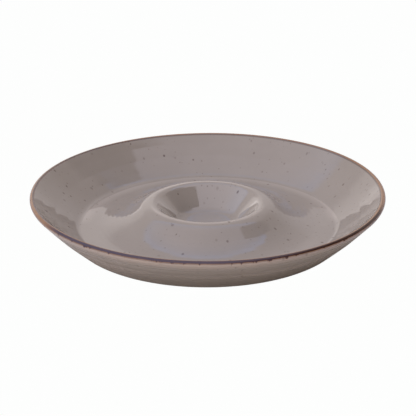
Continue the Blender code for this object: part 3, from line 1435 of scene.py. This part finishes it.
BLACK = (0.01, 0.01, 0.01)
PANELS = (
    # Low at the back: on the left, a brighter spot in it, and on the right.
    Panel(
        ((-3.2, 1.9), (0.1, 1.9), (0.6, 16.0), (-14.0, 16.0)),
        (1.08, 0.985, 0.945),
        (0.3, 0.4, 2.0, 0.6),
    ),
    Panel(((-4.4, 4.2), (-2.0, 4.2), (-2.6, 8.0), (-6.0, 8.0)), (1.40, 1.30, 1.25), (0.4,) * 4),
    Panel(
        ((0.3, 1.9), (3.2, 1.9), (14.0, 16.0), (1.5, 16.0)),
        (0.74, 0.67, 0.66),
        (0.3, 0.6, 2.0, 0.4),
    ),
    # The left side.
    Panel(((-4.5, -3.0), (-1.6, -2.0), (-1.6, 0.7), (-4.5, 1.6)), (0.80, 0.86, 0.98), (0.2,) * 4),
    # Overhead: its blue margin, its inner part, its core and its left end.
    Panel(
        ((-1.3, -1.4), (0.85, -1.4), (0.72, 0.62), (-0.6, 0.79), (-1.3, 0.66)),
        (0.70, 1.00, 1.70),
        (0.02, 0.02, 0.02, 0.15, 0.3),
    ),
    Panel(
        ((-1.6, -2.4), (0.80, -2.4), (0.72, 0.46), (-1.6, 0.77)),
        (0.70, 0.82, 1.18),
        (0.1, 0.1, 0.12, 0.3),
    ),
    Panel(
        ((-1.55, -2.4), (0.80, -2.4), (0.72, 0.22), (-1.55, 0.50)),
        (1.16, 1.10, 1.26),
        (0.1, 0.1, 0.25, 0.3),
    ),
    Panel(
        ((-1.65, -2.0), (-0.85, -2.0), (-0.85, 0.60), (-1.65, 0.68)),
        (1.00, 1.07, 1.36),
        (0.1, 0.25, 0.06, 0.4),
    ),
    # Dark cards on the right: one beside the light and one across its front.
    Panel(
        (
            *((0.43, 0.22), (0.60, -0.06), (1.0, -0.9), (3.5, -1.2)),
            *((3.7, 1.4), (1.44, 1.0), (0.93, 0.80), (0.62, 0.55)),
        ),
        BLACK,
        (0.02, 0.02, 0.2, 0.9, 0.9, 0.1, 0.05, 0.02),
    ),
    Panel(
        ((0.345, -2.0), (3.5, -2.0), (3.5, 0.0), (0.62, -0.05), (0.36, -0.25)),
        BLACK,
        (0.1, 0.2, 0.02, 0.02, 0.02),
    ),
)


@dataclass(frozen=True)
class Studio:
    """The pale floor, the soft light round the dish and the camera."""

    floor_side: float = 8.0
    floor_white: float = 0.80
    white: Colour = (0.985, 0.99, 0.985)
    low: Colour = (0.720, 0.650, 0.643)
    back: Colour = (0.640, 0.565, 0.540)
    front: Colour = (0.520, 0.560, 0.520)
    front_to_back: Pair = (-0.3, 0.3)
    low_to_high: Pair = (0.33, 0.43)
    panels: tuple[Panel, ...] = PANELS
    elevation: float = math.radians(22.27)
    distance: float = 1.0
    roll: float = math.radians(-0.20)
    focus: float = 1167.0
    middle: Pair = (207.66, 209.75)
    aim: Triple = (0.0, 0.0, 0.018)
    sensor: float = 36.0
    nearest: float = 0.01

    def white_to_the_eye(self, sheet: NodeSheet, lit: bpy.types.Node, plain: str, end: str) -> None:
        """Ends a sheet in a shader that the camera sees as white and all else as it is lit.

        Args:
            sheet: An otherwise finished sheet.
            lit: The shader for all but the camera.
            plain: Kind of the white shader's node.
            end: Kind of the sheet's last node.
        """
        white = sheet.add(plain, Color=self.white, Strength=1.0)
        both = sheet.add("MixShader", Fac=sheet.add("LightPath").outputs["Is Camera Ray"])
        sheet.fill(both.inputs[1], lit.outputs[0])
        sheet.fill(both.inputs[2], white.outputs[0])
        sheet.add(end, Surface=both.outputs[0])

    def floor(self) -> bpy.types.Object:
        """A wide white table, plain white to the eye and lit as a matt sheet elsewhere.

        Returns:
            The table.
        """
        mesh = bpy.data.meshes.new("table")
        corners = np.array(((-1, -1, 0), (1, -1, 0), (1, 1, 0), (-1, 1, 0))) * (self.floor_side / 2)
        mesh.from_pydata(corners.tolist(), [], [(0, 1, 2, 3)])
        material = bpy.data.materials.new("white table")
        material.use_nodes = True
        material.node_tree.nodes.clear()
        sheet = NodeSheet(material.node_tree)
        matt = sheet.add("BsdfDiffuse", Color=(self.floor_white,) * 3)
        self.white_to_the_eye(sheet, matt, "Emission", "OutputMaterial")
        mesh.materials.append(material)
        floor = bpy.data.objects.new("table", mesh)
        bpy.context.scene.collection.objects.link(floor)
        return floor

    def surround(self) -> None:
        """Soft light from all round, with its panels; the eye sees it as white as the table."""
        world = bpy.data.worlds.new("surround")
        world.use_nodes = True
        world.node_tree.nodes.clear()
        sheet = NodeSheet(world.node_tree)
        way = sheet.add("TexCoord").outputs["Generated"]
        axes = sheet.axes(way)
        light = sheet.mix(sheet.ease(axes["Y"], *self.front_to_back), self.front, self.back)
        light = sheet.mix(sheet.ease(axes["Z"], *self.low_to_high), self.low, light)
        for panel in self.panels:
            light = panel.laid_over(sheet, way, light)
        soft = sheet.add("Background", Color=light, Strength=1.0)
        self.white_to_the_eye(sheet, soft, "Background", "OutputWorld")
        bpy.context.scene.world = world

    def camera(self) -> bpy.types.Object:
        """The camera in front of the dish, above it and square to it.

        Returns:
            The camera.
        """
        data = bpy.data.cameras.new("camera")
        data.sensor_width = self.sensor
        data.lens = self.focus * self.sensor / IMAGE_SIDE
        data.shift_x = (IMAGE_SIDE / 2 - self.middle[0]) / IMAGE_SIDE
        data.shift_y = (self.middle[1] - IMAGE_SIDE / 2) / IMAGE_SIDE
        data.clip_start = self.nearest
        rise, level = math.sin(self.elevation), math.cos(self.elevation)
        ahead, up = Vector((0.0, level, -rise)), Vector((0.0, rise, level))
        right = Vector((1.0, 0.0, 0.0))
        turn, tilt = math.cos(self.roll), math.sin(self.roll)
        axes = Matrix((right * turn + up * tilt, up * turn - right * tilt, -ahead)).transposed().to_4x4()
        axes.translation = Vector(self.aim) - ahead * self.distance
        camera = bpy.data.objects.new("camera", data)
        camera.matrix_world = axes
        bpy.context.scene.collection.objects.link(camera)
        bpy.context.scene.camera = camera
        return camera

    def build(self) -> None:
        """Sets the stage and how its light is shown."""
        self.floor()
        self.surround()
        self.camera()
        bpy.context.scene.view_settings.view_transform = "Standard"


def main() -> None:
    """Builds the pieces and the studio in order, and reports each."""
    logging.basicConfig(level=logging.INFO, format="%(message)s")
    pieces: tuple[TurnedPiece, ...] = (
        ClayBody(Coat.CLAY, CLAY),
        UpperGlaze(Coat.UPPER, TAUPE),
        RimBand(Coat.RIM, BROWN),
        WallGlaze(Coat.WALL, OLIVE),
        BaseGlaze(Coat.BASE, BASE_TAUPE),
    )
    for piece in pieces:
        made = piece.build()
        LOG.info("%s: %d faces", made.name, len(made.data.polygons))
    Studio().build()


if __name__ == "__main__":
    main()
